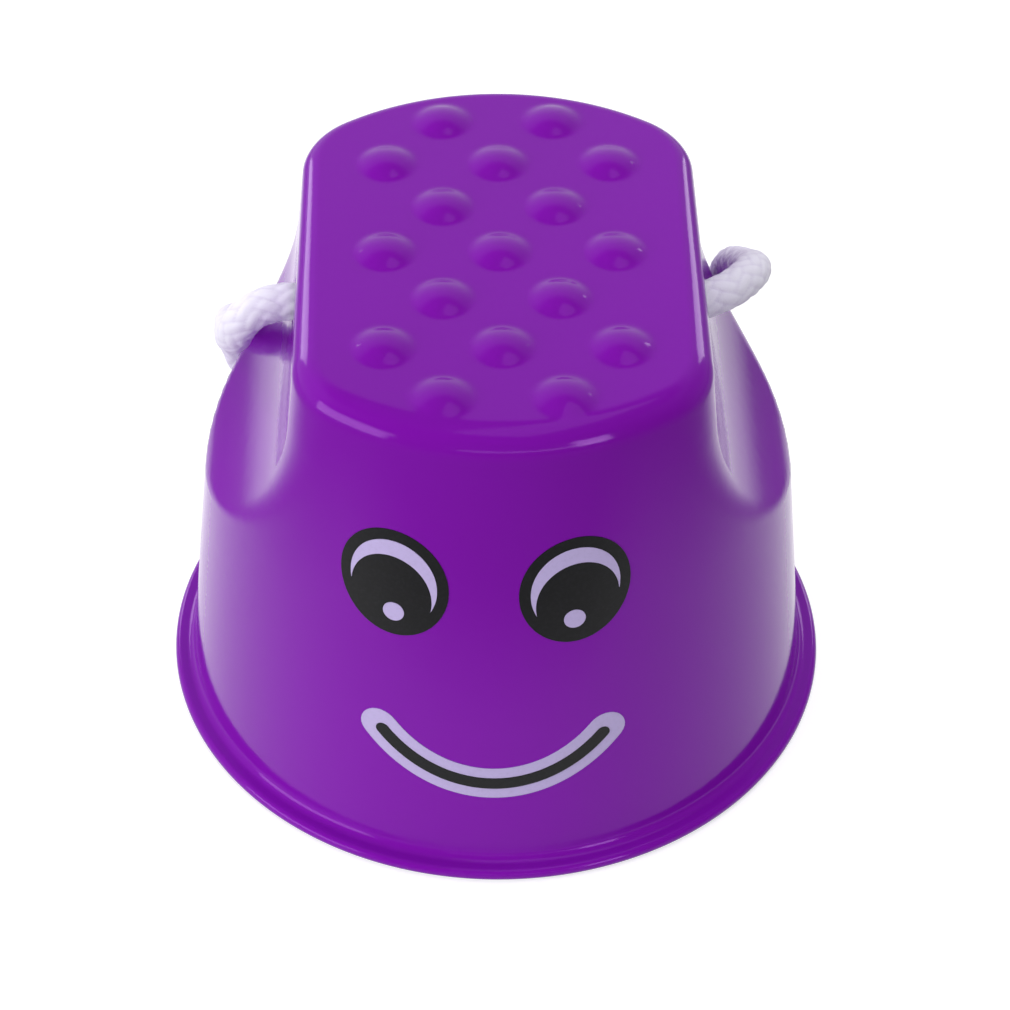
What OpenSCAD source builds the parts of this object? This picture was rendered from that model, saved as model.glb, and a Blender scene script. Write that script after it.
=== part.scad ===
// Bucket stilt: a moulded cup that a child stands on, with a printed smiling face and a hand rope.
// The rope comes out of one hole in each side recess and is held inside the cup by a stopper knot.
// Millimetres, +Z up. The origin is on the ground in the middle of the rim, and the face looks along -Y.

/* [Cup] */
// Diameter across the ground rim
rim_d = 125; // [112:1:150]
// Thickness of the ground rim
rim_t = 2.4; // [1.6:0.1:4]
// How far the rim stands out from the wall
rim_w = 3.7; // [2.5:0.1:8]
// Height of the standing platform above the ground
cup_h = 95; // [85:1:120]
// Diameter of the round wall at the height of the platform
top_d = 97.6; // [90:0.2:104]
// Thickness of the side walls
wall = 2.2; // [1.4:0.1:3]
// Thickness of the platform
top_t = 3; // [2:0.1:5]
// Rounding of the platform's edge
edge_r = 3; // [2:0.1:5]
// Rounding of the hollow's upper edge
hollow_r = 1.5; // [1.2:0.1:3]

/* [Side recesses] */
// Width of the platform between the two recesses
platform_w = 70; // [60:1:78]
// Depth of the straight part of a recess, measured from the platform
recess_drop = 14; // [8:1:22]
// Radius of the flare that runs a recess out to the round wall
flare_r = 48; // [36:1:60]

/* [Grip bumps] */
// Diameter of a bump
bump_d = 10.5; // [6:0.1:12]
// Height of a bump
bump_h = 1.3; // [0.6:0.1:2.5]
// Distance between neighbours in one row
bump_pitch = 20; // [14:0.1:22]
// Distance between rows
row_pitch = 12.8; // [8:0.1:13]

/* [Rope] */
// Diameter of the rope
rope_d = 6.8; // [5:0.1:7.4]
// Diameter of a rope hole
hole_d = 9; // [8.2:0.1:12]
// Distance of a rope hole's middle below the platform
hole_drop = 11; // [9:0.5:16]
// Diameter of a stopper knot
knot_d = 14.4; // [11:0.2:15]
// Length of a stopper knot
knot_l = 13; // [9:0.5:18]
// Length of the rope's end beyond a knot
tail_l = 11; // [4:0.5:16]

/* [Put-away coil] */
// Diameter of the coil at the middle of its turns
coil_d = 67; // [56:1:90]
// Clear space between neighbouring turns and layers
turn_gap = 0.55; // [0.45:0.05:1.5]
// Width of the tie's band
tie_w = 6; // [4:0.5:10]
// Thickness of the tie's band
tie_t = 0.8; // [0.5:0.1:1.5]

/* [Printed face] */
// Thickness of the ink
ink_t = 0.12; // [0.06:0.01:0.3]
// Height of the eyes' middle above the ground
eye_z = 62.8; // [50:0.1:72]
// Half the distance between the eyes, along the wall
eye_half = 15.7; // [13:0.1:20]
// Width of an eye
eye_w = 19.4; // [14:0.1:24]
// Height of an eye
eye_h = 22.2; // [16:0.1:26]
// Lean of an eye, its top outwards
eye_lean = 9; // [0:0.5:20]
// Height of the smile's lowest point above the ground
smile_z = 20.6; // [14:0.1:30]
// Radius of the smile's middle line
smile_r = 25; // [18:0.5:34]
// Angle from the smile's lowest point to each end
smile_half = 52.5; // [30:0.5:75]
// Width of the smile's pale band
smile_w = 6.8; // [4:0.1:9]
// Width of the smile's dark line
line_w = 2.4; // [1:0.1:3.6]

/* [Hidden] */
$fn = 96;

purple = [0.45, 0.12, 0.62];
lilac = [0.78, 0.70, 0.93];
ink = [0.03, 0.03, 0.03];
cotton = [0.93, 0.92, 0.95];

// Round wall: radius at a height, on the outside
rim_r = rim_d / 2;
foot_r = rim_r - rim_w;
top_r = top_d / 2;
draft = atan((foot_r - top_r) / (cup_h - rim_t));
function wall_r(z) = top_r + (cup_h - z) * tan(draft);

// Slack for cuts that run past a face, and a reach that lies past everything on the cup
over = 1;
reach = rim_r + flare_r;

// Points of an arc about a middle, from one angle to another
function arc(mid, r, from, to, steps) = [for (i = [0 : steps]) let (a = from + (to - from) * i / steps)
    mid + r * [cos(a), sin(a)]];

// Rounded edge between a drafted wall and a flat top, from the wall up
round_steps = 7;
function round_edge(half_at_top, top, round) =
    arc([half_at_top - round * (1 - sin(draft)) / cos(draft), top - round], round, draft, 90, round_steps);

// Half section of the round wall, from the axis outwards
module drafted_half(half_at_top, top, round, low)
    polygon(concat([[0, top], [0, low], [half_at_top + (top - low) * tan(draft), low]],
        round_edge(half_at_top, top, round)));

// Half of the recess outline seen from the front: a hollow flare, a drafted wall and the platform's edge
flare_steps = 20;
module recess_half(inset, top, round, low) {
    turn = [platform_w / 2 + recess_drop * tan(draft), cup_h - recess_drop];
    heart = turn + flare_r * [cos(draft), sin(draft)];
    polygon(concat([[0, top], [0, low], [heart[0], low]],
        arc(heart, flare_r + inset, 270, 180 + draft, flare_steps),
        round_edge(platform_w / 2 - inset / cos(draft) + (cup_h - top) * tan(draft), top, round)));
}

// Solid form of the cup, drawn in by a wall's thickness for its hollow
module cup_form(inset, top, round, low) {
    intersection() {
        rotate_extrude()
            drafted_half(top_r - inset / cos(draft) + (cup_h - top) * tan(draft), top, round, low);
        rotate([90, 0, 0]) linear_extrude(2 * reach, center = true) {
            recess_half(inset, top, round, low);
            mirror([1, 0]) recess_half(inset, top, round, low);
        }
    }
}

// Places of the grip bumps: rows of two and three by turns
bump_rows = 7;
bump_at = [for (row = [0 : bump_rows - 1]) let (count = row % 2 == 0 ? 2 : 3)
    for (i = [0 : count - 1])
        [(i - (count - 1) / 2) * bump_pitch, (row - (bump_rows - 1) / 2) * row_pitch]];

// One grip bump: a shallow dome that reaches a little into the platform
module bump() {
    sink = bump_h / 3;
    ball_r = (pow(bump_d / 2, 2) + pow(bump_h, 2)) / (2 * bump_h);
    rotate_extrude() intersection() {
        translate([0, bump_h - ball_r]) circle(ball_r, $fn = 180);
        translate([0, -sink]) square([bump_d / 2, sink + bump_h]);
    }
}

module cup_shell() color(purple) {
    difference() {
        union() {
            cup_form(0, cup_h, edge_r, 0);
            rotate_extrude() polygon(concat([[0, rim_t], [0, 0]],
                arc([rim_r - rim_t / 2, rim_t / 2], rim_t / 2, -90, 90, 2 * round_steps)));
            for (at = bump_at) translate([at[0], at[1], cup_h]) bump();
        }
        cup_form(wall, cup_h - top_t, hollow_r, -over);
        translate([0, 0, hole_z]) rotate([0, 90, 0]) cylinder(h = 2 * reach, d = hole_d, center = true);
    }
}

// Rope: where it lies, from its knot through the hole, over the side and down behind the cup to the coil
hole_z = cup_h - hole_drop;
rope_r = rope_d / 2;
turn_pitch = rope_d + turn_gap;
coil_turns = 3.5;
coil_out = coil_d / 2 + coil_turns / 4 * turn_pitch;
coil_at = [2, 109];
tie_gap = 0.4;
low_z = tie_t + tie_gap + rope_r;
high_z = low_z + turn_pitch;
coil_left = [coil_at[0] - coil_out, coil_at[1] - rope_d, low_z];
coil_right = [coil_at[0] + coil_out, coil_at[1] - rope_d, high_z];
left_route = [[-30, 0, hole_z], [-33, 0, hole_z], [-36, 0, hole_z], [-39.2, -0.3, hole_z],
    [-42.4, -0.8, 83.2], [-45, -0.8, 81], [-46.6, 0.4, 77.6], [-47.5, 3.2, 73.8], [-48.1, 7.6, 70.2],
    [-48.6, 13, 66.8], [-49.1, 18.8, 63.4], [-49.6, 24.6, 59.2], [-50, 29.6, 53], [-49.6, 33.2, 45.4],
    [-48.3, 37, 37.4], [-46.4, 41.6, 29.2], [-44.1, 47.8, 21], [-41.7, 56, 13.8], [-39.4, 66.5, 8.6],
    [-38.1, 78, 5.4], [coil_left[0], 87, low_z], [coil_left[0], 95, low_z], coil_left];
right_route = [[30, -2, hole_z], [33, -1, hole_z], [36, 0, hole_z], [39, 1.4, 84.2], [42.2, 4.2, 84],
    [44.7, 8.4, 83], [45.9, 13, 80.6], [46, 17.8, 77], [45.6, 22.6, 73.6], [45, 27.4, 70.2],
    [44.4, 32.6, 66], [43.8, 37.4, 59.2], [43.2, 41.8, 50.6], [42.8, 46.6, 41.4], [42.5, 52.4, 32],
    [42.3, 59.8, 23.4], [42.1, 69, 16.6], [coil_right[0], 79, 13.2], [coil_right[0], 88, high_z],
    [coil_right[0], 95, high_z], coil_right];

function unit(v) = v / norm(v);
// Point at t between b and c on a smooth curve through a, b, c and d
function curve(a, b, c, d, t) = b + 0.5 * t * ((c - a) + t * ((2 * a - 5 * b + 4 * c - d)
    + t * (3 * (b - c) + d - a)));
// A route's points with extra ones between them
function smooth(route, steps) = let (n = len(route)) [for (i = [0 : n - 2], s = [0 : steps - 1])
    curve(route[max(i - 1, 0)], route[i], route[i + 1], route[min(i + 2, n - 1)], s / steps), route[n - 1]];
// Directions along a path, square to its ends
function headings(path) = let (n = len(path))
    [for (i = [0 : n - 1]) unit(path[min(i + 1, n - 1)] - path[max(i - 1, 0)])];
function across(v, along) = unit(v - (v * along) * along);
// One side direction for each point, carried along without twist
function sides_of(ways) = [for (i = 0, v = across([0.1, 0.2, 1], ways[0]); i < len(ways);
    i = i + 1, v = i < len(ways) ? across(v, ways[i]) : v) v];

// Round tube along a path, as one closed skin of triangles
module tube(path, r, sides) {
    ways = headings(path);
    ups = sides_of(ways);
    rings = len(path);
    skin = [for (i = [0 : rings - 1], k = [0 : sides - 1]) let (turn = 360 * k / sides)
        path[i] + r * (cos(turn) * ups[i] + sin(turn) * cross(ways[i], ups[i]))];
    last = (rings - 1) * sides;
    polyhedron(points = skin, faces = concat(
        [for (i = [0 : rings - 2], k = [0 : sides - 1])
            let (a = i * sides + k, b = i * sides + (k + 1) % sides)
            each [[a, a + sides, b], [b, a + sides, b + sides]]],
        [for (k = [1 : sides - 2]) [0, k, k + 1]],
        [for (k = [1 : sides - 2]) [last, last + k + 1, last + k]]));
}

route_steps = 2;
rope_sides = 10;
module rope_left() color(cotton) tube(smooth(left_route, route_steps), rope_r, rope_sides);
module rope_right() color(cotton) tube(smooth(right_route, route_steps), rope_r, rope_sides);

// Coil: spirals in along the ground, climbs in the half turn where it reverses, and spirals out on top
rings_a_turn = 24;
coil_sides = 6;
function ease(t) = t * t * (3 - 2 * t);
function climb(turn) = ease(min(max((turn - (coil_turns / 2 - 0.25)) / 0.5, 0), 1));
function coil_point(turn) =
    let (r = coil_out - turn_pitch * min(turn, coil_turns - turn), way = 180 - 360 * turn)
    [coil_at[0] + r * cos(way), coil_at[1] + r * sin(way), low_z + turn_pitch * climb(turn)];
coil_rings = coil_turns * rings_a_turn;
coil_path = concat([coil_left], [for (i = [0 : coil_rings]) coil_point(i / rings_a_turn)], [coil_right]);
// Least clear space between the coil's stretches that lie half a turn or more apart
coil_gap = min([for (i = [0 : len(coil_path) - 1], j = [i + rings_a_turn / 2 : 1 : len(coil_path) - 1])
    norm(coil_path[i] - coil_path[j])]) - rope_d;
echo(coil_least_gap = coil_gap);

module rope_coil() color(cotton) tube(coil_path, rope_r, coil_sides);

// Tie: a flat band round the four stretches at the back of the coil
module coil_tie() color(cotton) {
    stack = turn_pitch + rope_d + 2 * tie_gap;
    // A quarter turn in from the coil's ends, where its turns lie over each other in pairs
    mid_r = coil_out - (1 / 4 + 1 / 2) * turn_pitch;
    translate([coil_at[0], coil_at[1] + mid_r, (low_z + high_z) / 2]) rotate([0, 90, 0])
        linear_extrude(tie_w, center = true) difference() {
            rounded_box(stack + 2 * tie_t, rope_r + tie_gap + tie_t);
            rounded_box(stack, rope_r + tie_gap);
        }
}

// Square outline with round corners
module rounded_box(width, round) {
    square([width, width - 2 * round], center = true);
    square([width - 2 * round, width], center = true);
    for (x = [-1, 1], y = [-1, 1]) translate([x, y] * (width / 2 - round)) circle(round);
}

// Stopper knot: two wraps of rope side by side, and the rope's cut end
module knot(route) {
    wrap_r = knot_l / 4;
    inward = unit(route[0] - route[1]);
    translate(route[0]) rotate([0, acos(inward[2]), atan2(inward[1], inward[0])]) {
        rotate_extrude() {
            square([knot_d / 2 - wrap_r, knot_l]);
            for (z = [wrap_r, knot_l - wrap_r]) translate([knot_d / 2 - wrap_r, z]) circle(wrap_r);
        }
        cylinder(h = knot_l + tail_l, d = rope_d);
    }
}
module left_knot() color(cotton) knot(left_route);
module right_knot() color(cotton) knot(right_route);

// Printed face: films of ink on the round wall, a hair clear of it
ink_gap = 0.02;
eye_turn = -3.7;
smile_turn = -1.8;
outline_points = 72;
eye_at = wall_r(eye_z);

// Film of ink with the outline of its children, which are drawn as seen from the front
module film(turn) {
    gap = ink_gap / cos(draft);
    skin = ink_t / cos(draft);
    rotate([0, 0, turn]) intersection() {
        rotate_extrude() polygon([for (edge = [[gap, 0], [gap + skin, 0], [gap + skin, 1], [gap, 1]])
            let (z = rim_t + edge[1] * (cup_h - rim_t - edge_r)) [wall_r(z) + edge[0], z]]);
        rotate([90, 0, 0]) linear_extrude(reach) children();
    }
}

// Oval with its middle at a point, leaning clockwise
module oval(at, width, height, lean) translate(at) rotate(-lean)
    polygon([for (i = [0 : outline_points - 1]) let (a = 360 * i / outline_points)
        [width / 2 * cos(a), height / 2 * sin(a)]]);

// Eye, drawn about the eye's middle for the side it is on: -1 left, 1 right
pupil_share = 0.8;
pupil_shift = [0.75, -2.3];
glint_at = [-0.3, -6.1];
glint_r = 1.9;
module eye_shape(side) translate([0, eye_z]) oval([0, 0], eye_w, eye_h, side * eye_lean);
module eye_lights(side) translate([0, eye_z]) {
    difference() {
        oval([0, 0], pupil_share * eye_w, pupil_share * eye_h, side * eye_lean);
        oval([side * pupil_shift[0], pupil_shift[1]], pupil_share * eye_w, pupil_share * eye_h,
            side * eye_lean);
    }
    translate([side * glint_at[0], glint_at[1]]) circle(glint_r);
}
function eye_way(side) = eye_turn + side * eye_half / eye_at * 180 / PI;
module eye_black(side) color(ink) film(eye_way(side)) difference() {
    eye_shape(side);
    eye_lights(side);
}
module eye_white(side) color(lilac) film(eye_way(side)) eye_lights(side);
module left_eye_black() eye_black(-1);
module left_eye_white() eye_white(-1);
module right_eye_black() eye_black(1);
module right_eye_white() eye_white(1);

// Smile: part of a ring with round ends, drawn about the ring's middle
arc_steps = 48;
cap_steps = 14;
function ring_arc(r, from, to) = [for (i = [0 : arc_steps]) let (a = from + (to - from) * i / arc_steps)
    r * [sin(a), -cos(a)]];
function round_end(width, half, side, from, to) = let (out = [side * sin(half), -cos(half)],
    on = [side * cos(half), sin(half)])
    [for (i = [1 : cap_steps - 1]) let (b = from + (to - from) * i / cap_steps)
        smile_r * out + width / 2 * (cos(b) * out + sin(b) * on)];
module smile_stroke(width, half) translate([0, smile_z + smile_r]) polygon(concat(
    ring_arc(smile_r + width / 2, -half, half), round_end(width, half, 1, 0, 180),
    ring_arc(smile_r - width / 2, half, -half), round_end(width, half, -1, 180, 0)));
// The dark line stops this angle short of the pale band's ends
line_short = 2;
line_half = smile_half - line_short;
module smile_white() color(lilac) film(smile_turn) difference() {
    smile_stroke(smile_w, smile_half);
    smile_stroke(line_w, line_half);
}
module smile_black() color(ink) film(smile_turn) smile_stroke(line_w, line_half);

cup_shell();
left_knot();
right_knot();
rope_left();
rope_right();
rope_coil();
coil_tie();
left_eye_black();
left_eye_white();
right_eye_black();
right_eye_white();
smile_white();
smile_black();
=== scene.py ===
import math

import bmesh
import bpy
import numpy as np
from mathutils import Matrix, Vector


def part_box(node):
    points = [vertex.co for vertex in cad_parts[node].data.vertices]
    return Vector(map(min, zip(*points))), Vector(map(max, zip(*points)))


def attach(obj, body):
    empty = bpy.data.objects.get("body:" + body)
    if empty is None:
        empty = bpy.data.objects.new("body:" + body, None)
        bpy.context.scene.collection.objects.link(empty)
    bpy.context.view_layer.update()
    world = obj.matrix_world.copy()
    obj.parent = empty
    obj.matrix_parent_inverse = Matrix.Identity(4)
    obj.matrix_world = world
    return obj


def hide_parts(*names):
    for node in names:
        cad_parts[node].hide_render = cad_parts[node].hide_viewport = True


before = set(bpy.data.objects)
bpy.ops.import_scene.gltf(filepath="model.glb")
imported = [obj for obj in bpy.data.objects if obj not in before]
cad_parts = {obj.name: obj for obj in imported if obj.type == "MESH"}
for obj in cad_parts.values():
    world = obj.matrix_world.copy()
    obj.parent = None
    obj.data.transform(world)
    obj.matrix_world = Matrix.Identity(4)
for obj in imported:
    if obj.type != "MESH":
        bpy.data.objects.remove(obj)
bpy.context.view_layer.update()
scene = bpy.context.scene
scene.view_settings.view_transform = "Standard"
up = np.array((0.0, 0.0, 1.0))
print("frame loaded:", len(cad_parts), "nodes")


# Small tools for meshes

def unit(v):
    return v / np.linalg.norm(v, axis=-1, keepdims=True)


def smoothStep(t):
    t = np.clip(t, 0.0, 1.0)
    return t * t * (3 - 2 * t)


def makePiece(name, verts, faces, slotName, material, nodes):
    mesh = bpy.data.meshes.new(name)
    mesh.from_pydata([tuple(v) for v in verts], [], faces)
    mesh.validate()
    work = bmesh.new()
    work.from_mesh(mesh)
    bmesh.ops.recalc_face_normals(work, faces=work.faces)
    work.to_mesh(mesh)
    work.free()
    mesh.polygons.foreach_set("use_smooth", [True] * len(mesh.polygons))
    piece = bpy.data.objects.new(name, mesh)
    scene.collection.objects.link(piece)
    mesh.materials.append(material)
    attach(piece, "root")
    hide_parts(*nodes)
    return piece


def gridFaces(rows, columns, closed=False, start=0):
    faces = []
    for i in range(rows - 1):
        for j in range(columns if closed else columns - 1):
            k = (j + 1) % columns
            faces.append((start + i * columns + j, start + i * columns + k,
                          start + (i + 1) * columns + k, start + (i + 1) * columns + j))
    return faces


def setFloats(piece, name, values):
    layer = piece.data.attributes.new(name, "FLOAT", "POINT")
    layer.data.foreach_set("value", np.asarray(values, float).ravel())


def setSharp(piece, degrees):
    piece.data.set_sharp_from_angle(angle=math.radians(degrees))


# Small tools for shaders

class Value:
    def __init__(self, net, socket):
        self.net = net
        self.socket = socket

    def other(self, name):
        return Value(self.net, self.socket.node.outputs[name])

    def math(self, operation, first, second):
        return self.net.node("ShaderNodeMath", {"operation": operation}, {0: first, 1: second})

    def __add__(self, other):
        return self.math("ADD", self, other)

    def __radd__(self, other):
        return self.math("ADD", other, self)

    def __sub__(self, other):
        return self.math("SUBTRACT", self, other)

    def __rsub__(self, other):
        return self.math("SUBTRACT", other, self)

    def __mul__(self, other):
        return self.math("MULTIPLY", self, other)

    def __rmul__(self, other):
        return self.math("MULTIPLY", other, self)


class Net:
    def __init__(self, owner):
        owner.use_nodes = True
        self.tree = owner.node_tree
        self.tree.nodes.clear()

    def node(self, kind, settings=None, sockets=None, out=0):
        made = self.tree.nodes.new(kind)
        for name, value in (settings or {}).items():
            setattr(made, name, value)
        for name, value in (sockets or {}).items():
            if isinstance(value, Value):
                self.tree.links.new(value.socket, made.inputs[name])
            else:
                made.inputs[name].default_value = value
        return Value(self, made.outputs[out]) if made.outputs else made

    def mixColour(self, factor, first, second):
        rgba = [v if isinstance(v, Value) else (*v, 1.0) for v in (first, second)]
        return self.node("ShaderNodeMix", {"data_type": "RGBA"}, {0: factor, 6: rgba[0], 7: rgba[1]}, 2)

    def noise(self, scale, detail=3.0, roughness=0.5):
        place = self.node("ShaderNodeTexCoord", out="Object")
        return self.node("ShaderNodeTexNoise", None, {
            "Vector": place, "Scale": scale, "Detail": detail, "Roughness": roughness})

    def range(self, value, low, high, toLow, toHigh):
        return self.node("ShaderNodeMapRange", None, {
            0: value, 1: low, 2: high, 3: toLow, 4: toHigh})

    def bump(self, height, distance, strength=1.0):
        return self.node("ShaderNodeBump", None, {
            "Strength": strength, "Distance": distance, "Height": height})

    def surface(self, sockets):
        shader = self.node("ShaderNodeBsdfPrincipled", None, sockets)
        self.node("ShaderNodeOutputMaterial", None, {"Surface": shader})


def newMaterial(name):
    material = bpy.data.materials.new(name)
    return material, Net(material)


# Camera, at the photograph's viewing angle

view = {
    "elevation": 43.27,         # degrees above the floor
    "turn": 1.51,               # degrees to the left of straight ahead
    "roll": 0.75,
    "distance": 0.5354,
    "target": (0.00136, 0.0346),    # across and up, before the turn
    "lens": 101.58,             # for a 36 mm square frame
}


def makeCamera():
    data = bpy.data.cameras.new("photoCamera")
    data.sensor_width = 36.0
    data.lens = view["lens"]
    data.clip_start = 0.01
    camera = bpy.data.objects.new("photoCamera", data)
    scene.collection.objects.link(camera)
    lift = math.radians(view["elevation"])
    across, height = view["target"]
    place = Vector((across, -view["distance"] * math.cos(lift), height + view["distance"] * math.sin(lift)))
    tilt = Matrix.Rotation(math.pi / 2 - lift, 4, "X")
    roll = Matrix.Rotation(math.radians(view["roll"]), 4, "Z")
    turn = Matrix.Rotation(-math.radians(view["turn"]), 4, "Z")
    camera.matrix_world = turn @ Matrix.Translation(place) @ tilt @ roll
    scene.camera = camera


makeCamera()
print("camera set")


# Hand rope: one braided length from knot to knot, by way of the coil behind the cup

rope = {
    "diameter": 0.0068,
    "carriers": 8,              # strands each way round
    "braidAngle": 40.0,         # degrees off the rope's line
    "relief": 0.00032,          # depth of the braid's grooves
    "sides": 56,
    "step": 0.00042,
    "colour": (0.86, 0.83, 0.95),
    # painted shade: the colour the braid is darkened to down in its grooves
    "paintedGrooveShade": (0.68, 0.62, 0.80),
    "ease": 0.004,              # how far a bend is spread along the rope
    "exit": (-0.036, 0.0, 0.084),
}
coil = {
    "centre": (0.002, 0.109),
    "turns": 3.5,
    "outer": 0.039931,          # centre line of the outermost turn
    "pitch": 0.00735,           # from turn to turn, and from layer to layer
    "low": 0.0046,
    "lead": 0.0068,             # straight length with which the rope runs into the outermost turn
}
coilHigh = coil["low"] + coil["pitch"]
coilLeft = (coil["centre"][0] - coil["outer"], coil["centre"][1] - coil["lead"], coil["low"])
coilRight = (coil["centre"][0] + coil["outer"], coil["centre"][1] - coil["lead"], coilHigh)
leftRoute = [
    (-0.030, 0, 0.084), (-0.033, 0, 0.084), (-0.036, 0, 0.084), (-0.0392, -0.0003, 0.084),
    (-0.0424, -0.0008, 0.0832), (-0.045, -0.0008, 0.081), (-0.0466, 0.0004, 0.0776),
    (-0.0475, 0.0032, 0.0738), (-0.0481, 0.0076, 0.0702), (-0.0486, 0.013, 0.0668),
    (-0.0491, 0.0188, 0.0634), (-0.0496, 0.0246, 0.0592), (-0.050, 0.0296, 0.053),
    (-0.0496, 0.0332, 0.0454), (-0.0483, 0.037, 0.0374), (-0.0464, 0.0416, 0.0292),
    (-0.0441, 0.0478, 0.021), (-0.0417, 0.056, 0.0138), (-0.0394, 0.0665, 0.0086),
    (-0.0381, 0.078, 0.0054), (coilLeft[0], 0.087, coil["low"]), (coilLeft[0], 0.095, coil["low"]),
]
rightRoute = [
    (0.030, -0.002, 0.084), (0.033, -0.001, 0.084), (0.036, 0, 0.084), (0.039, 0.0014, 0.0842),
    (0.0422, 0.0042, 0.084), (0.0447, 0.0084, 0.083), (0.0459, 0.013, 0.0806), (0.046, 0.0178, 0.077),
    (0.0456, 0.0226, 0.0736), (0.045, 0.0274, 0.0702), (0.0444, 0.0326, 0.066),
    (0.0438, 0.0374, 0.0592), (0.0432, 0.0418, 0.0506), (0.0428, 0.0466, 0.0414),
    (0.0425, 0.0524, 0.032), (0.0423, 0.0598, 0.0234), (0.0421, 0.069, 0.0166),
    (coilRight[0], 0.079, 0.0132), (coilRight[0], 0.088, coilHigh), (coilRight[0], 0.095, coilHigh),
]


def coilPoint(turn):
    radius = coil["outer"] - coil["pitch"] * min(turn, coil["turns"] - turn)
    angle = math.pi - 2 * math.pi * turn
    rise = float(smoothStep((turn - 1.5) / 0.5))
    return (coil["centre"][0] + radius * math.cos(angle), coil["centre"][1] + radius * math.sin(angle),
            coil["low"] + coil["pitch"] * rise)


def throughPoints(points, step):
    p = np.array([points[0], *points, points[-1]], float)
    t = np.linspace(0, 1, 24, endpoint=False)[:, None]
    parts = []
    for a, b, c, d in zip(p, p[1:], p[2:], p[3:]):
        parts.append(0.5 * (2 * b + (c - a) * t + (2 * a - 5 * b + 4 * c - d) * t ** 2
                            + (3 * b - a - 3 * c + d) * t ** 3))
    line = np.vstack([*parts, p[-1:]])
    along = np.concatenate([[0], np.cumsum(np.linalg.norm(np.diff(line, axis=0), axis=1))])
    even = np.linspace(0, along[-1], int(along[-1] / step) + 1)
    line = np.column_stack([np.interp(even, along, line[:, k]) for k in range(3)])
    # evens out the bends between the points, with the ends kept
    reach = int(rope["ease"] / step)
    weight = np.hanning(2 * reach + 1)
    padded = np.vstack([2 * line[0] - line[reach:0:-1], line, 2 * line[-1] - line[-2:-reach - 2:-1]])
    return np.column_stack([np.convolve(padded[:, k], weight / weight.sum(), "valid") for k in range(3)])


def frameAlong(line):
    forward = unit(np.gradient(line, axis=0))
    side = np.empty_like(line)
    seed = np.cross(forward[0], up if abs(forward[0][2]) < 0.9 else (1.0, 0.0, 0.0))
    for i, f in enumerate(forward):
        seed = seed - f * np.dot(seed, f)
        seed = seed / np.linalg.norm(seed)
        side[i] = seed
    return side, np.cross(forward, side)


def braidHeight(around, along, diameter):
    # around in turns, along in metres: 1 on the crown of a strand, 0 in the grooves
    carriers = rope["carriers"]
    spacing = math.pi * diameter / carriers / math.tan(math.radians(rope["braidAngle"]))
    a = around * carriers + along / spacing
    b = around * carriers - along / spacing
    i, j = np.floor(a), np.floor(b)
    aOver = np.mod(i - j, 4) < 2
    across = np.where(aOver, a - i, b - j)
    firstHalf = np.where(aOver, np.mod(i - j, 4) == 1, np.mod(i - j, 4) == 2)
    within = np.where(aOver, b - j, a - i)
    float2 = np.where(firstHalf, within, within + 1.0) / 2
    crown = np.sqrt(np.clip(1 - (1.9 * (across - 0.5)) ** 2, 0, 1))
    lift = 1 - (2 * float2 - 1) ** 4
    return crown * (0.35 + 0.65 * lift)


def braidedTube(line, diameter, sides, capped=(True, True), taper=None):
    side, over = frameAlong(line)
    along = np.concatenate([[0], np.cumsum(np.linalg.norm(np.diff(line, axis=0), axis=1))])
    around = np.arange(sides) / sides
    height = braidHeight(around[None, :], along[:, None], diameter)
    radius = diameter / 2 - rope["relief"] * (1 - height)
    if taper is not None:
        radius = radius * taper[:, None]
    angle = 2 * math.pi * around
    ring = np.cos(angle)[None, :, None] * side[:, None, :] + np.sin(angle)[None, :, None] * over[:, None, :]
    verts = (line[:, None, :] + radius[:, :, None] * ring).reshape(-1, 3)
    relief = height.ravel()
    faces = gridFaces(len(line), sides, closed=True)
    for end, wanted in zip((0, len(line) - 1), capped):
        if wanted:
            verts = np.vstack([verts, line[end]])
            relief = np.append(relief, 0.6)
            hub = len(verts) - 1
            faces += [(end * sides + j, end * sides + (j + 1) % sides, hub) for j in range(sides)]
    return verts, faces, relief


def ropeMaterial():
    material, net = newMaterial("whiteBraid")
    relief = net.node("ShaderNodeAttribute", {"attribute_name": "relief"}, None, "Fac")
    fibre = net.noise(5200.0, 2.0, 0.6)
    worn = net.noise(60.0, 3.0)
    # painted shade: the braid's colour darkens from the strands' crowns into the grooves, as if shadowed
    shade = net.range(relief, 0.05, 0.75, 0.0, 1.0)
    white = net.mixColour(net.range(worn, 0.35, 0.7, 0.0, 1.0), rope["colour"],
                          tuple(0.96 * c for c in rope["colour"]))
    colour = net.mixColour(shade * (0.85 + 0.3 * (fibre - 0.5)), rope["paintedGrooveShade"], white)
    net.surface({
        "Base Color": colour,
        "Roughness": 0.75 + 0.2 * (fibre - 0.5),
        "Sheen Weight": 0.25,
        "Sheen Roughness": 0.5,
        "Specular IOR Level": 0.3,
        "Normal": net.bump(fibre, 0.00025, 0.6),
    })
    return material


ropeLook = ropeMaterial()
ropePoints = [*leftRoute, coilLeft, *[coilPoint(k / 24) for k in range(int(coil["turns"] * 24) + 1)],
              coilRight, *reversed(rightRoute)]
ropeLine = throughPoints(ropePoints, rope["step"])
verts, faces, relief = braidedTube(ropeLine, rope["diameter"], rope["sides"])
handRope = makePiece("handRope", verts, faces, "rope_cotton", ropeLook,
                     ("rope_left", "rope_right", "rope_coil"))
setFloats(handRope, "relief", relief)


# Stopper knots, inside the cup at each end of the rope

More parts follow.
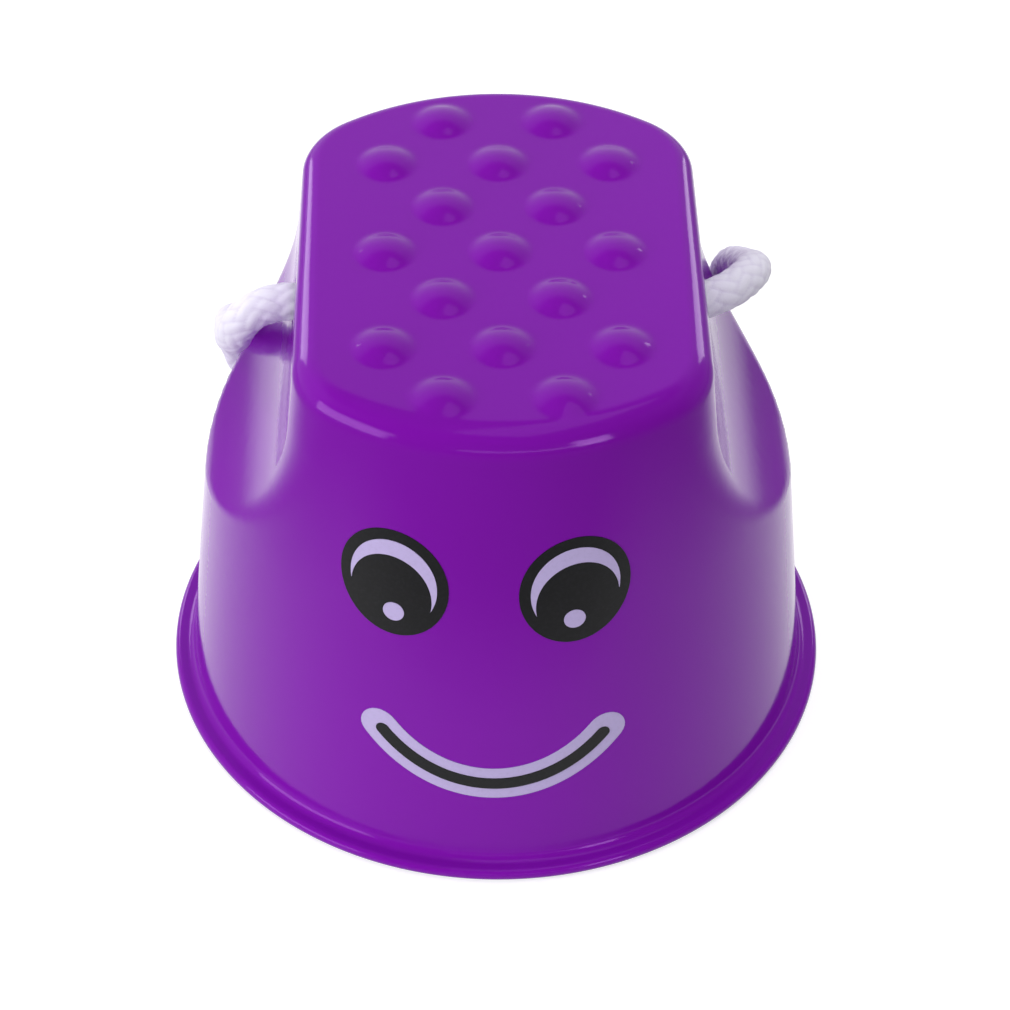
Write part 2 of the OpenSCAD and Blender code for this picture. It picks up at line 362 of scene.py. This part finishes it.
knot = {
    "coreDiameter": 0.0064,
    "wrapDiameter": 0.0062,
    "wraps": 2.15,
    "wrapRadius": 0.0042,       # from the rope's line to the middle of a wrap
    "length": 0.0062,           # from the first wrap's middle to the last one's
    "start": 0.0034,
    "tail": 0.024,
    "fray": 0.10,               # how much the cut end opens
    "firstAngle": 0.8,
    "dip": 0.10,                # share of the wraps that rises from the rope, and that goes back
    "sides": 40,
}


def makeKnot(name, route, node):
    start, inward = np.array(route[0], float), unit(np.array(route[0], float) - np.array(route[1], float))
    side = unit(np.cross(inward, up))
    over = np.cross(inward, side)
    core = start + np.linspace(-0.0005, knot["tail"], 120)[:, None] * inward
    fray = 1 + knot["fray"] * smoothStep((np.linspace(0, 1, 120) - 0.86) / 0.14)
    turn = np.linspace(0, 1, 360)
    angle = 2 * math.pi * knot["wraps"] * turn + knot["firstAngle"]
    dip = smoothStep(turn / knot["dip"]) * smoothStep((1 - turn) / knot["dip"])
    radius = knot["wrapRadius"] * (0.25 + 0.75 * dip)
    along = knot["start"] + knot["length"] * smoothStep(turn)
    wrap = (start + along[:, None] * inward + (radius * np.cos(angle))[:, None] * side
            + (radius * np.sin(angle))[:, None] * over)
    verts, faces, relief = braidedTube(core, knot["coreDiameter"], knot["sides"], taper=fray)
    more, moreFaces, moreRelief = braidedTube(wrap, knot["wrapDiameter"], knot["sides"])
    faces += [tuple(i + len(verts) for i in face) for face in moreFaces]
    piece = makePiece(name, np.vstack([verts, more]), faces, "rope_cotton", ropeLook, (node,))
    setFloats(piece, "relief", np.append(relief, moreRelief))
    return piece


leftKnot = makeKnot("leftKnot", leftRoute, "left_knot")
rightKnot = makeKnot("rightKnot", rightRoute, "right_knot")
print("stopper knots tied")


# Tape tie round the back of the coil

tie = {
    "width": 0.006,
    "thickness": 0.0008,
    "corner": 0.0032,
    "lap": 0.011,               # how far the free end lies over the band
    "lapStart": 0.006,          # where the band begins, along its loop
    "lapStep": 0.003,           # length over which the free end steps up onto the band
    "colour": (0.80, 0.78, 0.80),
    "threadColour": (0.66, 0.64, 0.68),
    "threads": 1700.0,          # per metre, each way
}


def roundedSquare(half, corner, steps):
    points = []
    for quarter, (x, y) in enumerate(((1, 1), (-1, 1), (-1, -1), (1, -1))):
        for k in range(steps + 1):
            angle = math.pi / 2 * (quarter + k / steps)
            points.append((x * (half - corner) + corner * math.cos(angle),
                           y * (half - corner) + corner * math.sin(angle)))
    return points


def tieMaterial():
    material, net = newMaterial("wovenTape")
    place = net.node("ShaderNodeTexCoord", out="UV")
    parts = net.node("ShaderNodeSeparateXYZ", None, {0: place})
    warp, weft = (net.node("ShaderNodeMath", {"operation": "SINE"}, {0: way * tie["threads"] * 2 * math.pi})
                  for way in (parts, parts.other("Y")))
    weave = warp * weft
    fibre = net.noise(4000.0, 2.0, 0.6)
    net.surface({
        "Base Color": net.mixColour(
            net.range(weave, -1.0, 1.0, 0.0, 1.0), tie["threadColour"], tie["colour"]),
        "Roughness": 0.7 + 0.2 * (fibre - 0.5),
        "Specular IOR Level": 0.3,
        "Normal": net.bump(weave + fibre, 0.00012, 0.7),
    })
    return material


def makeTie():
    low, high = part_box("coil_tie")
    middle = (np.array(low) + np.array(high)) / 2
    half = (high.z - low.z) / 2 - tie["thickness"] / 2
    loop = np.array(roundedSquare(half, tie["corner"], 10))
    loop = np.vstack([loop, loop[:1]])
    along = np.concatenate([[0], np.cumsum(np.linalg.norm(np.diff(loop, axis=0), axis=1))])
    total = along[-1]
    lapStart, lapStep = tie["lapStart"], tie["lapStep"]
    stations = np.linspace(lapStart, total + lapStart + tie["lap"], 160)
    y = np.interp(np.mod(stations, total), along, loop[:, 0])
    z = np.interp(np.mod(stations, total), along, loop[:, 1])
    line = np.column_stack([y, z])
    out = unit(line - np.clip(line, -(half - tie["corner"]), half - tie["corner"]))
    over = smoothStep((stations - total - lapStart + lapStep) / lapStep)
    line = line + out * (over * (tie["thickness"] + 0.00005))[:, None]
    section = []
    edge = tie["thickness"] / 2
    for side in (-1, 1):
        for angle in np.linspace(-math.pi / 2, math.pi / 2, 7):
            section.append((side * (tie["width"] / 2 - edge + edge * math.cos(angle)),
                            side * edge * math.sin(angle)))
    verts, uvs = [], []
    for station, p, n in zip(stations, line, out):
        for u, v in section:
            q = p + n * v
            verts.append((middle[0] + u, middle[1] + q[0], middle[2] + q[1]))
            uvs.append((u, station))
    count = len(section)
    faces = gridFaces(len(stations), count, closed=True)
    faces += [tuple(range(count)), tuple(range(len(verts) - count, len(verts)))]
    piece = makePiece("coilTie", verts, faces, "tie_tape", tieMaterial(), ("coil_tie",))
    layer = piece.data.uv_layers.new(name="tape")
    for loopItem in piece.data.loops:
        layer.data[loopItem.index].uv = uvs[loopItem.vertex_index]
    setSharp(piece, 50)
    return piece


coilTie = makeTie()
print("coil tied")


# Moulded cup

cup = {
    "height": 0.095,
    "topRadius": 0.0488,
    "footRadius": 0.0588,       # the wall's, where it meets the rim
    "rimRadius": 0.0625,
    "rimThickness": 0.0024,
    "wall": 0.0022,
    "top": 0.003,
    "edgeSide": 0.0034,         # roundover of the platform, at the recesses, the front and the back
    "edgeFront": 0.0048,
    "edgeBack": 0.0026,
    "fillet": 0.0016,           # from the wall to the rim
    "roofEdge": 0.0022,         # roundings inside, under the platform and at the foot
    "footEdge": 0.0012,
    "platformHalf": 0.035,
    "recessDrop": 0.014,        # drafted part of a recess, before it flares
    "flareRadius": 0.048,
    "cornerTop": 0.016,         # plan rounding of a recess's corners, at the platform and low down
    "cornerLow": 0.009,
    "cornerFall": 0.045,        # depth over which the one goes over into the other
    "blend": 0.003,             # softens the line where a recess runs out into the wall
    "columns": 360,
    "bumpRadius": 0.0051,
    "bumpHeight": 0.0013,
    "bumpFoot": 0.0009,
    "bumpPitch": 0.020,
    "rowPitch": 0.0128,
    "rows": (2, 3, 2, 3, 2, 3, 2),
    "holeRadius": 0.0045,
    "holeDrop": 0.011,
    "holeEase": 0.0007,         # rounding of a hole's edges
    "holeSides": 64,
    "colour": (0.193, 0.005, 0.364),
    "sheen": (0.80, 0.42, 1.0),    # tint of what the plastic mirrors
}
slope = (cup["footRadius"] - cup["topRadius"]) / (cup["height"] - cup["rimThickness"])
turnAngle = np.linspace(0, 2 * math.pi, cup["columns"], endpoint=False)


def wallRadius(z):
    return cup["topRadius"] + (cup["height"] - z) * slope


def recessHalf(z):
    # half the width across the recesses at a height: drafted first, then an arc that flares out
    drop = cup["height"] - z
    tilt = math.atan(slope)
    if drop < cup["recessDrop"]:
        return cup["platformHalf"] + slope * drop
    startHalf = cup["platformHalf"] + slope * cup["recessDrop"]
    heartX = startHalf + cup["flareRadius"] * math.cos(tilt)
    heartDrop = cup["recessDrop"] - cup["flareRadius"] * math.sin(tilt)
    below = drop - heartDrop
    if below >= cup["flareRadius"]:
        return heartX
    return heartX - math.sqrt(cup["flareRadius"] ** 2 - below ** 2)


def softMin(a, b, width):
    gap = max(width - abs(a - b), 0.0)
    return min(a, b) - gap * gap / (4 * width)


def outline(z, inset):
    # distance from the axis all round, at a height, moved in by inset
    round_ = wallRadius(z)
    half = softMin(recessHalf(z), round_, cup["blend"])
    corner = cup["cornerTop"] + (cup["cornerLow"] - cup["cornerTop"]) * float(
        smoothStep((cup["height"] - z) / cup["cornerFall"]))
    round_, half, corner = round_ - inset, half - inset, corner - inset
    if half >= round_ - 1e-7:
        return np.full(len(turnAngle), round_)
    across, ahead = np.abs(np.cos(turnAngle)), np.abs(np.sin(turnAngle))
    heartX = half - corner
    heartY = math.sqrt(max((round_ - corner) ** 2 - heartX ** 2, 0.0))
    angle = np.arctan2(ahead, across)
    flat = half / np.maximum(across, 1e-6)
    along = heartX * across + heartY * ahead
    bend = along + np.sqrt(np.maximum(along ** 2 - heartX ** 2 - heartY ** 2 + corner ** 2, 0.0))
    return np.where(angle < math.atan2(heartY, half), flat,
                    np.where(angle < math.atan2(heartY, heartX), bend, round_))


def bumpCentres():
    centres = []
    for r, count in enumerate(cup["rows"]):
        y = ((len(cup["rows"]) - 1) / 2 - r) * cup["rowPitch"]
        centres += [((k - (count - 1) / 2) * cup["bumpPitch"], y) for k in range(count)]
    return centres


def bumpLift(x, y):
    radius, height, foot = cup["bumpRadius"], cup["bumpHeight"], cup["bumpFoot"]
    sphere = (radius ** 2 + height ** 2) / (2 * height)
    lift = np.zeros_like(x)
    for cx, cy in bumpCentres():
        d = np.hypot(x - cx, y - cy)
        dome = np.sqrt(np.maximum(sphere ** 2 - d ** 2, 0)) - (sphere - height)
        blended = (dome + foot / 2) ** 2 / (2 * foot)
        soft = np.where(dome > foot / 2, dome, np.where(dome < -foot / 2, 0, blended))
        lift = np.maximum(lift, np.where(d < radius * 1.6, soft, 0))
    return lift


def cupRings():
    # rings from the middle of the hollow's roof, down inside, round the rim, up outside and over the platform
    height, wall, top = cup["height"], cup["wall"], cup["top"]
    end = np.where(np.sin(turnAngle) < 0, cup["edgeFront"], cup["edgeBack"])
    edge = cup["edgeSide"] + (end - cup["edgeSide"]) * np.sin(turnAngle) ** 2
    rings = []
    roof = height - top
    inside, foot = cup["roofEdge"], cup["footEdge"]
    for share in np.linspace(0.03, 1, 26):
        rings.append((outline(roof, wall + inside) * share, roof))
    for angle in np.linspace(0, math.pi / 2, 7)[1:]:
        z = roof - inside * (1 - math.cos(angle))
        rings.append((outline(z, wall + inside * (1 - math.sin(angle))), z))
    for z in np.linspace(roof - inside, foot, 74)[1:]:
        rings.append((outline(z, wall), z))
    for angle in np.linspace(0, math.pi / 2, 5)[1:]:
        rings.append((outline(foot, wall) + foot * (1 - math.cos(angle)), foot * (1 - math.sin(angle))))
    lip = cup["rimThickness"] / 2
    full = np.ones(len(turnAngle))
    for angle in np.linspace(-math.pi / 2, math.pi / 2, 13):
        rings.append(((cup["rimRadius"] - lip + lip * math.cos(angle)) * full, lip + lip * math.sin(angle)))
    fillet = cup["fillet"]
    for angle in np.linspace(0, math.pi / 2 - math.atan(slope), 8):
        z = cup["rimThickness"] + fillet * (1 - math.cos(angle))
        rings.append((wallRadius(z) * full + fillet * (1 - math.sin(angle)), z))
    for z in np.linspace(cup["rimThickness"] + fillet, height - cup["edgeFront"] - 0.0004, 98)[1:]:
        rings.append((outline(z, 0.0), z))
    for angle in np.linspace(0, math.pi / 2, 17):
        z = height - edge * (1 - math.sin(angle))
        inset = edge * (1 - math.cos(angle))
        rings.append((np.array([outline(z[j], inset[j])[j] for j in range(len(turnAngle))]), z))
    brink = rings[-1][0]
    for share in np.linspace(1, 0.012, 100)[1:]:
        rings.append((brink * share, height))
    return rings


def plasticMaterial():
    material, net = newMaterial("purplePlastic")
    flow = net.noise(9.0, 2.0)
    peel = net.noise(420.0, 2.0, 0.45)
    rub = net.noise(140.0, 4.0, 0.6)
    deep = tuple(0.90 * c for c in cup["colour"])
    net.surface({
        "Base Color": net.mixColour(net.range(flow, 0.35, 0.65, 0.0, 1.0), deep, cup["colour"]),
        "Roughness": net.range(rub, 0.3, 0.7, 0.09, 0.13),
        "IOR": 1.30,
        "Specular Tint": (*cup["sheen"], 1.0),
        "Normal": net.bump(peel, 0.00004, 0.5),
    })
    return material


def makeCup():
    rings = cupRings()
    verts, columns = [], len(turnAngle)
    for radius, z in rings:
        x, y = radius * np.cos(turnAngle), radius * np.sin(turnAngle)
        level = np.zeros(columns) + z
        level = level + bumpLift(x, y) * smoothStep(1 - (cup["height"] - level) / 0.001)
        verts.append(np.column_stack([x, y, level]))
    verts = np.vstack(verts)
    faces = gridFaces(len(rings), columns, closed=True)
    inner, outer = len(verts), len(verts) + 1
    centreLift = float(bumpLift(np.zeros(1), np.zeros(1))[0])
    verts = np.vstack([verts, (0, 0, cup["height"] - cup["top"]), (0, 0, cup["height"] + centreLift)])
    last = (len(rings) - 1) * columns
    faces += [(j, (j + 1) % columns, inner) for j in range(columns)]
    faces += [(last + j, last + (j + 1) % columns, outer) for j in range(columns)]
    piece = makePiece("cupShell", verts, faces, "cup_plastic", plasticMaterial(), ("cup_shell",))
    for side in (-1, 1):
        cutHole(piece, side)
    setSharp(piece, 35)
    return piece


def cutHole(piece, side):
    # a spool-shaped cutter, so that the hole's two edges come out rounded
    z = cup["height"] - cup["holeDrop"]
    outside = recessHalf(z)
    middle, halfWall, ease = outside - cup["wall"] / 2, cup["wall"] / 2, cup["holeEase"]
    verts, stations, sides = [], np.linspace(-0.006, 0.006, 61), cup["holeSides"]
    for s in stations:
        near = max(abs(s) - (halfWall - ease), 0.0) / ease
        radius = cup["holeRadius"] + (ease * (1 - math.sqrt(1 - near ** 2)) if near < 1 else ease)
        for k in range(sides):
            angle = 2 * math.pi * k / sides
            verts.append((side * (middle + s), radius * math.cos(angle), z + radius * math.sin(angle)))
    faces = gridFaces(len(stations), sides, closed=True)
    faces += [tuple(range(sides)), tuple(range(len(verts) - sides, len(verts)))]
    mesh = bpy.data.meshes.new("holeCutter")
    mesh.from_pydata(verts, [], faces)
    work = bmesh.new()
    work.from_mesh(mesh)
    bmesh.ops.recalc_face_normals(work, faces=work.faces)
    work.to_mesh(mesh)
    work.free()
    cutter = bpy.data.objects.new("holeCutter", mesh)
    scene.collection.objects.link(cutter)
    cut = piece.modifiers.new("hole", "BOOLEAN")
    cut.operation = "DIFFERENCE"
    cut.solver = "EXACT"
    cut.object = cutter
    bpy.context.view_layer.update()
    evaluated = piece.evaluated_get(bpy.context.evaluated_depsgraph_get())
    result = bpy.data.meshes.new_from_object(evaluated)
    piece.modifiers.clear()
    piece.data = result
    bpy.data.objects.remove(cutter)


cupShell = makeCup()
print("cup moulded:", len(cupShell.data.vertices), "vertices")


# Printed face: ink films that lie on the front wall

ink = {
    "film": 0.00010,            # height of one coat over the wall
    "sunk": 0.00006,            # how far the film's underside lies in the wall
    "blackColour": (0.006, 0.006, 0.007),
    "speckColour": (0.010, 0.010, 0.012),
    "lilacColour": (0.48, 0.40, 0.67),
}
eye = {
    "height": 0.0628,
    "apart": 0.0157,            # from the face's middle line
    "half": (0.0097, 0.0111),
    "lean": 9.0,
    "turn": -3.7,               # degrees round the cup
    "lightShare": 0.80,         # size of the pale oval, and of the pupil that covers most of it
    "pupilShare": 0.75,
    "pupilShift": (0.00035, -0.0026),    # across is away from the nose, as for the glint
    "glint": (-0.0003, -0.0061),
    "glintRadius": 0.0019,
}
smile = {
    "height": 0.0206,
    "radius": 0.025,
    "half": 52.5,
    "width": 0.0068,
    "lineHalf": 50.5,
    "lineWidth": 0.0024,
    "turn": -1.8,
}


def ontoWall(x, z, turn, lift):
    # a flat print's point, carried straight back onto the wall, then raised along the wall's normal
    radius = wallRadius(z)
    angle = np.arcsin(np.clip(x / radius, -1, 1)) + math.radians(turn)
    tilt = math.atan(slope)
    reach = radius + lift * math.cos(tilt)
    return np.column_stack([reach * np.sin(angle), -reach * np.cos(angle), z + lift * math.sin(tilt)])


def film(rows, turn, coats):
    # rows of flat points, as a closed thin film; coats is how many coats lie under its face
    rows = np.array(rows, float)
    count, width = rows.shape[:2]
    flat = rows.reshape(-1, 2)
    face = ontoWall(flat[:, 0], flat[:, 1], turn, ink["film"] * coats)
    back = ontoWall(flat[:, 0], flat[:, 1], turn, -ink["sunk"])
    faces = gridFaces(count, width)
    faces += [tuple(count * width + i for i in reversed(f)) for f in gridFaces(count, width)]
    border = [j for j in range(width)] + [i * width + width - 1 for i in range(1, count)]
    border += [(count - 1) * width + j for j in range(width - 2, -1, -1)]
    border += [i * width for i in range(count - 2, 0, -1)]
    for a, b in zip(border, border[1:] + border[:1]):
        faces.append((a, b, b + count * width, a + count * width))
    return np.vstack([face, back]), faces


def joinFilms(films):
    verts, faces = [], []
    start = 0
    for v, f in films:
        verts.append(v)
        faces += [tuple(i + start for i in face) for face in f]
        start += len(v)
    return np.vstack(verts), faces


def inkMaterial(name, colour, speck, roughness):
    material, net = newMaterial(name)
    grain = net.noise(1500.0, 3.0, 0.6)
    cloud = net.noise(160.0, 2.0)
    net.surface({
        "Base Color": net.mixColour(net.range(grain, 0.45, 0.75, 0.0, 1.0), colour, speck),
        "Roughness": roughness + 0.12 * (cloud - 0.5),
        "IOR": 1.28,
        "Normal": net.bump(grain, 0.00002, 0.5),
    })
    return material


def leaned(x, y, degrees):
    c, s = math.cos(math.radians(degrees)), math.sin(math.radians(degrees))
    return c * x - s * y, s * x + c * y


def ovalRows(side, middle, half):
    # rows of points over an oval that leans to its side, about the eye's own middle
    rows = []
    for share in np.linspace(-1, 1, 41):
        y = math.sin(share * math.pi / 2)
        reach = math.sqrt(max(1 - y * y, 0.0))
        row = []
        for across in np.linspace(-1, 1, 33):
            x = reach * math.sin(across * math.pi / 2)
            px, py = leaned(half[0] * x, half[1] * y, -side * eye["lean"])
            row.append((middle[0] + px, eye["height"] + middle[1] + py))
        rows.append(row)
    return rows


def crescentRows(side):
    # what the pupil leaves of the pale oval, from tip to tip
    a, b = (eye["lightShare"] * h for h in eye["half"])
    shrink = eye["pupilShare"] / eye["lightShare"]
    shift = leaned(side * eye["pupilShift"][0], eye["pupilShift"][1], side * eye["lean"])
    clear = []
    for angle in np.linspace(-math.pi / 2, 3 * math.pi / 2, 721):
        x, y = a * math.cos(angle), b * math.sin(angle)
        fromPupil = math.hypot((x - shift[0]) / a, (y - shift[1]) / b) / shrink
        if fromPupil > 1.0:
            clear.append((x, y, fromPupil))
    rows = []
    for x, y, fromPupil in clear:
        row = []
        for t in np.linspace(0, 1, 7):
            share = t + (1 - t) / fromPupil
            px, py = leaned(shift[0] + (x - shift[0]) * share, shift[1] + (y - shift[1]) * share,
                            -side * eye["lean"])
            row.append((px, eye["height"] + py))
        rows.append(row)
    return rows


def strokeRows(width, halfAngle):
    # the smile's band: an arc with round ends
    rows = []
    for across in np.linspace(-1, 1, 15):
        v = math.sin(across * math.pi / 2)
        cap = width / 2 * math.sqrt(max(1 - v * v, 0.0))
        radius = smile["radius"] + v * width / 2
        row = []
        for share in np.linspace(-1, 1, 121):
            angle = share * (math.radians(halfAngle) + cap / radius)
            row.append((radius * math.sin(angle),
                        smile["height"] + smile["radius"] - radius * math.cos(angle)))
        rows.append(row)
    return rows


blackInk = inkMaterial("blackInk", ink["blackColour"], ink["speckColour"], 0.30)
lilacInk = inkMaterial("lilacInk", ink["lilacColour"], tuple(0.93 * c for c in ink["lilacColour"]), 0.36)
for side, word in ((-1, "left"), (1, "right")):
    way = eye["turn"] + side * math.degrees(eye["apart"] / wallRadius(eye["height"]))
    glintAt = (side * eye["glint"][0], eye["glint"][1])
    black = film(ovalRows(side, (0, 0), eye["half"]), way, 1)
    pale = joinFilms([
        film(crescentRows(side), way, 2),
        film(ovalRows(side, glintAt, (eye["glintRadius"],) * 2), way, 2)])
    for piece in (makePiece(word + "EyeBlack", *black, "ink_black", blackInk, (word + "_eye_black",)),
                  makePiece(word + "EyePale", *pale, "ink_lilac", lilacInk, (word + "_eye_white",))):
        setSharp(piece, 40)
for name, width, half, coats, slotName, look, node in (
        ("smilePale", smile["width"], smile["half"], 1, "ink_lilac", lilacInk, "smile_white"),
        ("smileBlack", smile["lineWidth"], smile["lineHalf"], 2, "ink_black", blackInk, "smile_black")):
    band = film(strokeRows(width, half), smile["turn"], coats)
    setSharp(makePiece(name, *band, slotName, look, (node,)), 40)
print("face printed")


# Pale floor and soft studio light

studio = {
    "floor": 3.0,
    "floorColour": (0.55, 0.55, 0.55),
    "floorGlow": 0.62,          # lifts the white sheet under the stilt to white, also in the gloss
    "sheetFront": (-0.15, -0.10),    # where the sheet runs out, along Y and to the sides
    "sheetSide": (0.115, 0.17),
    "sheetSpread": 0.143,       # how much wider it gets, for its length to the back
    "floorDim": 0.36,           # colour of the floor beyond the sheet
    "backdrop": (0.95, 0.95, 0.96),
    "ceiling": (0.13, 0.13, 0.14),
    "backdropTop": (0.72, 0.84),    # where the backdrop ends, as the sine of the angle over the floor
    "backdropFront": (-0.45, 0.05),    # and how far it comes round to the front, along Y
    "backdropRight": (0.35, 0.80, 0.35),    # where it dims to the right, along X, and how far
    # name: place, width and depth in metres, power in watts, seen in the gloss or not
    "lamps": {
        "overhead": ((0.12, -0.05, 1.05), (0.8, 0.36), 1.2, True),
        "keyLeft": ((-1.12, -0.62, 0.36), (0.95, 0.60), 12.0, True),
        "fillRight": ((0.60, -0.95, 0.46), (0.24, 0.40), 2.8, True),
        "frontStrip": ((0.20, -1.15, 0.38), (1.1, 0.10), 1.3, True),
        "rimLeft": ((-0.72, 0.88, 0.46), (0.25, 0.45), 1.8, True),
        "rimRight": ((0.72, 0.88, 0.46), (0.25, 0.45), 1.8, True),
        "front": ((-0.25, -1.25, 0.55), (0.9, 0.6), 0.9, False),
        "tent": ((0.0, 0.2, 1.6), (1.6, 1.6), 10.3, False),
    },
}


def makeFloor():
    half = studio["floor"]
    mesh = bpy.data.meshes.new("floor")
    corners = [(-half, -half, 0), (half, -half, 0), (half, half, 0), (-half, half, 0)]
    mesh.from_pydata(corners, [], [(0, 1, 2, 3)])
    floor = bpy.data.objects.new("floor", mesh)
    scene.collection.objects.link(floor)
    material, net = newMaterial("paleFloor")
    path = net.node("ShaderNodeLightPath")
    seen = path.other("Is Camera Ray") + path.other("Is Glossy Ray") + path.other("Is Transmission Ray")
    parts = net.node("ShaderNodeSeparateXYZ", None, {0: net.node("ShaderNodeTexCoord", out="Object")})
    aside = net.node("ShaderNodeMath", {"operation": "ABSOLUTE"}, {0: parts})
    sheet = net.range(parts.other("Y"), *studio["sheetFront"], 0.0, 1.0) * net.range(
        aside - parts.other("Y") * studio["sheetSpread"], *studio["sheetSide"], 1.0, 0.0)
    colour = net.mixColour(sheet, (studio["floorDim"],) * 3, studio["floorColour"])
    diffuse = net.node("ShaderNodeBsdfDiffuse", None, {"Color": colour})
    glow = net.node("ShaderNodeEmission", None, {"Strength": seen * sheet * studio["floorGlow"]})
    both = net.node("ShaderNodeAddShader", None, {0: diffuse, 1: glow})
    net.node("ShaderNodeOutputMaterial", None, {"Surface": both})
    mesh.materials.append(material)


def makeWorld():
    world = bpy.data.worlds.new("studio")
    scene.world = world
    net = Net(world)
    place = net.node("ShaderNodeTexCoord", out="Generated")
    parts = net.node("ShaderNodeSeparateXYZ", None, {0: place})
    low = net.range(parts.other("Z"), *studio["backdropTop"], 1.0, 0.0)
    behind = net.range(parts.other("Y"), *studio["backdropFront"], 0.0, 1.0)
    start, end, least = studio["backdropRight"]
    right = net.range(parts, start, end, 1.0, least)
    colour = net.mixColour(low * behind * right, studio["ceiling"], studio["backdrop"])
    back = net.node("ShaderNodeBackground", None, {"Color": colour, "Strength": 1.0})
    net.node("ShaderNodeOutputWorld", None, {"Surface": back})


def makeLamps():
    for name, (place, size, power, inGloss) in studio["lamps"].items():
        data = bpy.data.lights.new(name, "AREA")
        data.shape = "RECTANGLE"
        data.size, data.size_y = size
        data.energy = power
        lamp = bpy.data.objects.new(name, data)
        scene.collection.objects.link(lamp)
        lamp.location = place
        lamp.visible_glossy = inGloss
        aim = Vector((0, 0, 0.05)) - Vector(place)
        lamp.rotation_mode = "QUATERNION"
        lamp.rotation_quaternion = aim.to_track_quat("-Z", "Y")


makeFloor()
makeWorld()
makeLamps()
print("studio lit")

bpy.context.view_layer.update()
